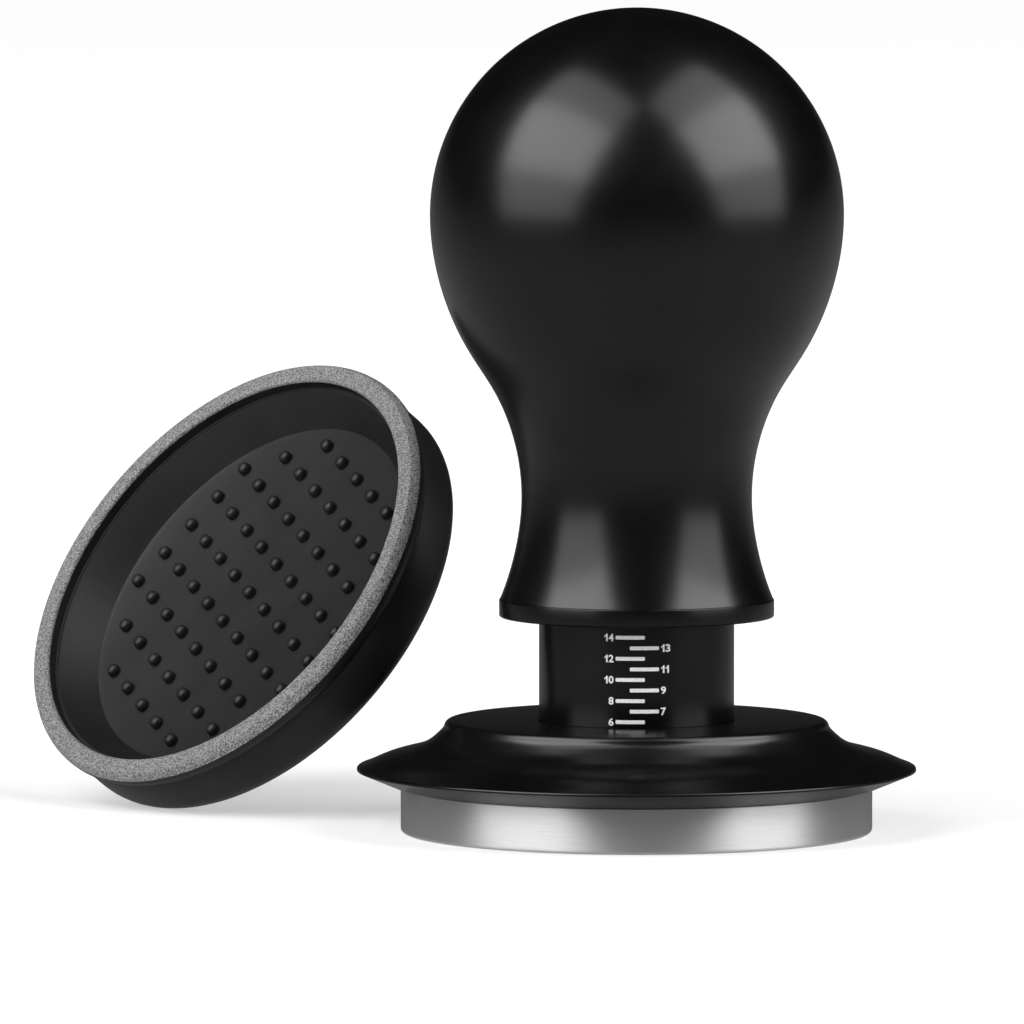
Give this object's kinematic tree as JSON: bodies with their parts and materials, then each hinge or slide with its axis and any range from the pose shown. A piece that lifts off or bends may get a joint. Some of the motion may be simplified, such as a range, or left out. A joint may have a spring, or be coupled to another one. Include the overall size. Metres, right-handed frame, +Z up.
{
  "type": "espresso tamper",
  "caption": "Self-levelling spring-loaded espresso tamper with a ball handle, a depth scale on its column, a wide levelling flange and a loose studded silicone cover.",
  "frame": {"origin": "centre of the steel base's flat working face", "axes": "+Z up the tamper's axis to the top of the ball, -Y towards the side that carries the printed scale, -X towards the loose cover"},
  "size_m": [0.1111, 0.0992, 0.1018],
  "materials": {
    "base_steel": "satin brushed stainless steel",
    "shaft_steel": "machined stainless steel",
    "spring_steel": "drawn spring wire",
    "black_anodised": "bead blasted, matte black anodised",
    "plain_aluminium": "machined aluminium",
    "bush_bronze": "sintered bronze",
    "white_ptfe": "PTFE",
    "black_rubber": "moulded rubber",
    "black_silicone": "moulded silicone, grained rim"
  },
  "bodies": {
    "base_assembly": {"tamper_base": "base_steel", "centre_shaft": "shaft_steel", "lock_washer": "spring_steel", "scale_sleeve": "black_anodised", "stop_bumper": "black_rubber", "lower_spring_seat": "shaft_steel", "sleeve_nut": "shaft_steel", "main_spring": "spring_steel", "leveling_spring": "spring_steel"},
    "leveler_bush": {"guide_bush": "bush_bronze", "bush_washer": "white_ptfe"},
    "leveler": {"leveling_flange": "black_anodised", "wiper_ring": "white_ptfe", "leveler_carrier": "plain_aluminium", "carrier_screws": "shaft_steel"},
    "handle_seat": {"upper_spring_seat": "shaft_steel", "handle_washer": "white_ptfe"},
    "handle": {"handle_ball": "black_anodised", "retaining_collar": "black_anodised", "collar_guide_ring": "white_ptfe"},
    "cover": {"silicone_cover": "black_silicone"}
  },
  "joints": [
    {"name": "handle_press", "type": "slide", "parent": "base_assembly", "child": "handle_seat", "axis": [0, 0, -1], "range_m": [0, 0.0032], "stiffness_N_per_m": 8000, "springref_m": -0.012, "deforming": ["main_spring"]},
    {"name": "handle_spin", "type": "hinge", "parent": "handle_seat", "child": "handle", "pos_m": [0, 0, 0.0763], "axis": [0, 0, 1], "continuous": true},
    {"name": "leveler_slide", "type": "slide", "parent": "base_assembly", "child": "leveler_bush", "axis": [0, 0, 1], "range_m": [0, 0.008], "stiffness_N_per_m": 380, "springref_m": -0.01, "deforming": ["leveling_spring"]},
    {"name": "leveler_spin", "type": "hinge", "parent": "leveler_bush", "child": "leveler", "pos_m": [0, 0, 0.01], "axis": [0, 0, 1], "continuous": true},
    {"name": "cover_lift", "type": "slide", "parent": "base_assembly", "child": "cover", "axis": [-0.8, 0, 0.6], "range_m": [0, 0.06]}
  ]
}
